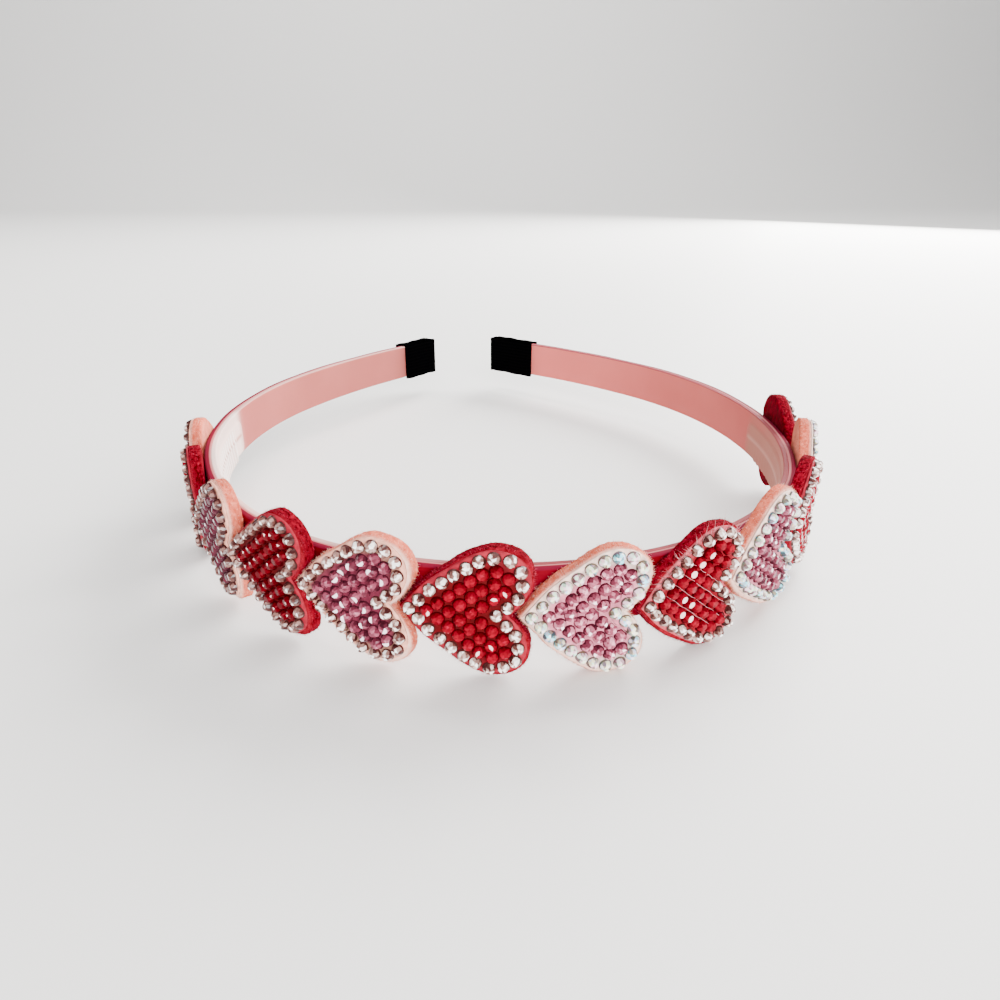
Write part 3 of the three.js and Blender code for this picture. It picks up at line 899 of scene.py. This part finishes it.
def makeFilm(index, material):
    # thin plate under the stones: rings from its edge to the middle, the part under the border row marked
    name, kind = heartRows[index]["name"], heartRows[index]["felt"]
    margin = heart["filmMargin"]
    length = heart["feltLength"] - 2 * margin
    outline = heartRing(feltShape, length, heart["feltHeight"] - 2 * margin, -length / 2, 48)
    outline = outline + np.array([0.0, heart["filmRise"]])
    share = np.array([0.0, 0.35, 0.62, 0.74, 0.80, 0.90, 0.935, 0.985, 1.0, 1.0])
    height = np.array([0.30, 0.30, 0.30, 0.28, 0.27, 0.24, 0.2, 0.1, 0.0, -0.19])
    middle = np.array([heart["middle"], heart["filmRise"]])
    rings = middle + (outline - middle)[:, None] * share[None, :, None]
    under = np.array([0.0, 0.0, 0.0, 0.1, 1.0, 1.0, 1.0, 1.0, 1.0, 1.0])
    rim = np.array([0.0, 0.0, 0.0, 0.0, 0.0, 0.15, 1.0, 1.0, 1.0, 1.0])
    size = (len(outline), len(share))
    grid = np.concatenate([rings, np.broadcast_to(filmBase + height[None, :, None], (*size, 1))], -1)
    faces = gridFaces(*size, closedRows=True).tolist()
    faces.append([k * size[1] + size[1] - 1 for k in range(size[0])])
    piece = newPiece(name + "_film", heartPlacer(index)(grid.reshape(-1, 3)), faces, material,
                     {"rowShare": np.broadcast_to(under, size), "rimShare": np.broadcast_to(rim, size)})


# Strings of glue pulled between the rows of inner stones
strand = {
    "radius": 0.032,
    "height": 0.5,             # above the film
    "sides": 5,
    "steps": 40,
    "wander": 0.05,
    "lines": {"heart_07": (2.5, 4.5), "heart_08": (0.5, 1.5, 2.5, 3.5)},    # in stones from the tip
    "whiskers": {"heart_07": 0, "heart_08": 110},     # frayed glue outside the border's upper flank
    "whiskerWidth": 0.05,
}


def makeStrands(index, material, row, rng):
    # each line runs along the slant between two rows of stones and swings by slow sines
    name = heartRows[index]["name"]
    slant = math.radians(stone["slant"])
    start = row[0] + np.array([stone["firstInset"], 0.0])
    along = np.array([math.cos(slant), -math.sin(slant)])
    aside = np.array([math.cos(slant), math.sin(slant)])
    normal = np.array([-along[1], along[0]])
    t = np.linspace(0, 1, 400)[:, None]
    run = np.linspace(0, 1, strand["steps"])
    turn = np.linspace(0, 2 * math.pi, strand["sides"], endpoint=False)[None, :]
    points, faces, first = [], [], 0
    for rows in strand["lines"][name]:
        line = start + aside * rows * stone["spacing"] + along * (t * 26.0 - 6.0)
        line = line[insidePolygon(line, row * 0.86 + np.array([0.1, 0.04]))]
        line = line[np.linspace(0, len(line) - 1, strand["steps"]).astype(int)]
        phase = rng.uniform(0, 6.28, 2)
        swing = strand["wander"] * (np.sin(run * 19 + phase[0]) + 0.6 * np.sin(run * 37 + phase[1]))
        line = line + swing[:, None] * normal
        thick = strand["radius"] * (0.75 + 0.5 * rng.uniform(0, 1, strand["steps"])) * np.minimum(
            1.0, 8 * np.minimum(run, 1 - run) + 0.15)
        level = strand["height"] * (0.75 + 0.35 * np.sin(run * 25 + phase[1]))
        side = thick[:, None] * np.cos(turn)
        lift = level[:, None] + thick[:, None] * np.sin(turn)
        grid = np.concatenate([line[:, None] + side[..., None] * normal, lift[..., None]], -1)
        points.append(grid.reshape(-1, 3))
        faces += gridFaces(strand["steps"], strand["sides"], closedColumns=True, start=first).tolist()
        faces.append([first + k for k in range(strand["sides"] - 1, -1, -1)])
        last = first + (strand["steps"] - 1) * strand["sides"]
        faces.append([last + k for k in range(strand["sides"])])
        first += grid.shape[0] * grid.shape[1]

    # whiskers: thin three-sided spikes from the upper flank of the row, lying outwards over the felt
    total = strand["whiskers"][name]
    if total:
        at = 1.0 + 9.0 * rng.uniform(0, 1, total) ** 1.3
        flank = np.arange(14)
        root = np.stack([np.interp(at, flank, row[:14, 0]), np.interp(at, flank, row[:14, 1])], -1)
        away = unitOf(root - np.array([2.0, -1.0]))
        root = root + away * rng.uniform(0.55, 0.9, (total, 1))
        way = away * 0.8 + rng.normal(0, 0.75, (total, 2)) + np.array([-0.35, 0.0])
        tip = root + way * rng.uniform(0.7, 1.5, (total, 1))
        turnOf = np.array([[0.0, 2.1, 4.2]]) + rng.uniform(0, 6.28, (total, 1))
        width = strand["whiskerWidth"]
        foot = np.stack([root[:, 0:1] + width * np.cos(turnOf), root[:, 1:2] + width * np.sin(turnOf),
                         np.zeros((total, 3))], -1)
        point = np.concatenate([tip, rng.uniform(-0.1, 0.3, (total, 1))], -1)
        points.append(np.concatenate([foot, point[:, None]], 1).reshape(-1, 3))
        faces += spikeFaces(first, total)
    points = heartPlacer(index)(np.concatenate(points) + np.array([0, 0, stoneBase]))
    piece = newPiece(name + "_strands", points, faces, material)


def borderRow():
    tip = heart["rowTipInset"] - heart["feltLength"] / 2
    rowLength = heart["feltLength"] - heart["rowTipInset"] - heart["rowLobeInset"]
    rowHeight = heart["feltHeight"] - 2 * heart["rowSideInset"]
    row = heartRing(rowShape, rowLength, rowHeight, tip, stone["perSide"] + 1)
    return row + np.array([0.0, heart["filmRise"]])


def makeStones(index, materials, row, rng):
    facts = heartRows[index]
    name, border = facts["name"], facts["border"]
    base = stoneBase - stone["sink"]
    place = heartPlacer(index)

    places = row + rng.normal(0, 0.05, row.shape)
    points, faces = stoneCloud(places, stone["borderDiameter"], stone["borderHeight"], base, rng)
    glint = facetValues(len(places), rng, border, facts["borderPaintedLight"], *stone["borderGlint"])
    tint = np.repeat(rng.uniform(0, 1, len(places)), len(cutFaces)) + rng.normal(0, 0.28, len(glint))
    piece = newPiece(name + "_border", place(points), faces, materials[border],
                     {"glint": glint, "tint": np.clip(tint, 0, 1)}, faceted=True)
    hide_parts(name + "_stones")

    inner = innerStones[facts["felt"]]
    places = innerPlaces(row, rng)
    points, faces = stoneCloud(places, stone["innerDiameter"], stone["innerHeight"], base, rng)
    glint = facetValues(len(places), rng, inner, facts["innerPaintedLight"], facts["glintShare"],
                        facts["glintFacets"])
    piece = newPiece(name + "_inner", place(points), faces, materials[inner], {"glint": glint}, faceted=True)


makeStrip(stripMaterial())
makeRibbon(ribbonMaterial())
tapeFinish = tapeMaterial()
for capName in tape["legs"]:
    makeTape(capName, tapeFinish)
print("strip, ribbon and tapes made")

feltFinish = {kind: feltMaterial(kind) for kind in ("red", "pink")}
stoneFinish = {kind: stoneMaterial(kind) for kind in ("clear", "aurora", "red", "rose")}
filmFinish = {kind: filmMaterial(kind) for kind in ("red", "frosted", "plum", "pink")}
stoneRow = borderRow()
for heartIndex, heartRow in enumerate(heartRows):
    dice = np.random.default_rng(40 + heartIndex)
    makeFelt(heartIndex, feltFinish[heartRow["felt"]], dice)
    makeStones(heartIndex, stoneFinish, stoneRow, dice)
    makeFilm(heartIndex, filmFinish[heartRow["glue"]])
    if heartRow["name"] in strand["lines"]:
        makeStrands(heartIndex, strandMaterial(heartRow["name"]), stoneRow, dice)
print("hearts made")

# Floor, light and camera
studio = {
    "floorColour": (0.80, 0.79, 0.775),
    "world": (0.97, 0.98, 1.0),
    "worldStrength": 0.48,
    "floorReach": 2.5,
    "sweepStart": 1.5,         # where the floor starts to rise behind
    "sweepRadius": 1.0,
    "lens": 26.0,
    "cameraPlace": (-20.8225, -90.221, 60.852),    # from the middle of the strip's front, in its own frame
    "heading": 7.82,           # degrees from +Y towards +X
    "pitch": 24.125,           # degrees down
    "roll": -0.2,
}
# name, place, target and size in metres, power in watts, colour
lamps = [
    ("key", (0.75, 0.63, 0.46), (0, 0, 0.01), 0.9, 60.0, (1.0, 0.99, 0.97)),
    ("front", (0.10, -1.03, 0.30), (0, 0, 0.01), 0.7, 34.0, (1.0, 0.99, 0.98)),
    ("top", (0.2, 0.1, 1.0), (0, 0, 0.01), 0.8, 4.0, (1.0, 0.99, 0.98)),
    ("back_wash", (0.0, 0.6, 1.6), (0.3, 2.4, 0.5), 1.2, 55.0, (1.0, 0.99, 0.98)),
    ("glint_left", (-0.15, -0.35, 0.5), (0, -0.05, 0.01), 0.05, 0.4, (1.0, 1.0, 1.0)),
]


def makeFloor():
    # flat in front, then a quarter circle and a wall behind
    turn = np.linspace(0, math.pi / 2, 24)
    radius = studio["sweepRadius"]
    depth = np.concatenate([[-studio["floorReach"]], studio["sweepStart"] + radius * np.sin(turn),
                            [studio["sweepStart"] + radius]])
    height = np.concatenate([[0.0], radius - radius * np.cos(turn), [2.0]])
    x = np.array([-studio["floorReach"], studio["floorReach"]])[:, None]
    grid = np.stack(np.broadcast_arrays(x, depth[None], height[None]), -1)
    mesh = bpy.data.meshes.new("floor")
    mesh.from_pydata(grid.reshape(-1, 3), [], gridFaces(*grid.shape[:2]).tolist())
    mesh.polygons.foreach_set("use_smooth", np.full(len(mesh.polygons), True))
    floor = bpy.data.objects.new("floor", mesh)
    bpy.context.scene.collection.objects.link(floor)
    material, tree, shader = newMaterial("floor_pale", 0.5, 0.6)
    feed(tree, shader, {"Base Color": studio["floorColour"]})
    mesh.materials.append(material)


def makeLight(name, place, target, size, power, colour):
    lamp = bpy.data.lights.new(name, "AREA")
    lamp.size = size
    lamp.energy = power
    lamp.color = colour
    holder = bpy.data.objects.new(name, lamp)
    holder.location = place
    holder.rotation_euler = (Vector(target) - Vector(place)).to_track_quat("-Z", "Y").to_euler()
    bpy.context.scene.collection.objects.link(holder)


def makeCamera():
    # forward from heading and pitch; right and up turned by the roll
    heading, pitch, roll = (math.radians(studio[k]) for k in ("heading", "pitch", "roll"))
    level = math.cos(pitch)
    forward = Vector((math.sin(heading) * level, math.cos(heading) * level, -math.sin(pitch)))
    right = Vector((math.cos(heading), -math.sin(heading), 0.0))
    up = right.cross(forward)
    right, up = right * math.cos(roll) - up * math.sin(roll), right * math.sin(roll) + up * math.cos(roll)
    camera = bpy.data.objects.new("camera", bpy.data.cameras.new("camera"))
    camera.data.lens = studio["lens"]
    camera.data.sensor_width = 36.0
    turn = Matrix((right, up, -forward)).transposed().to_4x4()
    place = Vector(studio["cameraPlace"]) + Vector((planMiddle, planFront, bandBottom))
    camera.matrix_world = Matrix.Translation(place * mm) @ turn
    camera.data.clip_start = 0.005
    bpy.context.scene.collection.objects.link(camera)
    bpy.context.scene.camera = camera


makeFloor()
for lampRow in lamps:
    makeLight(*lampRow)
world = bpy.data.worlds.new("studio")
world.use_nodes = True
feed(world.node_tree, world.node_tree.nodes["Background"],
     {"Color": studio["world"], "Strength": studio["worldStrength"]})
bpy.context.scene.world = world
makeCamera()
print("studio ready")
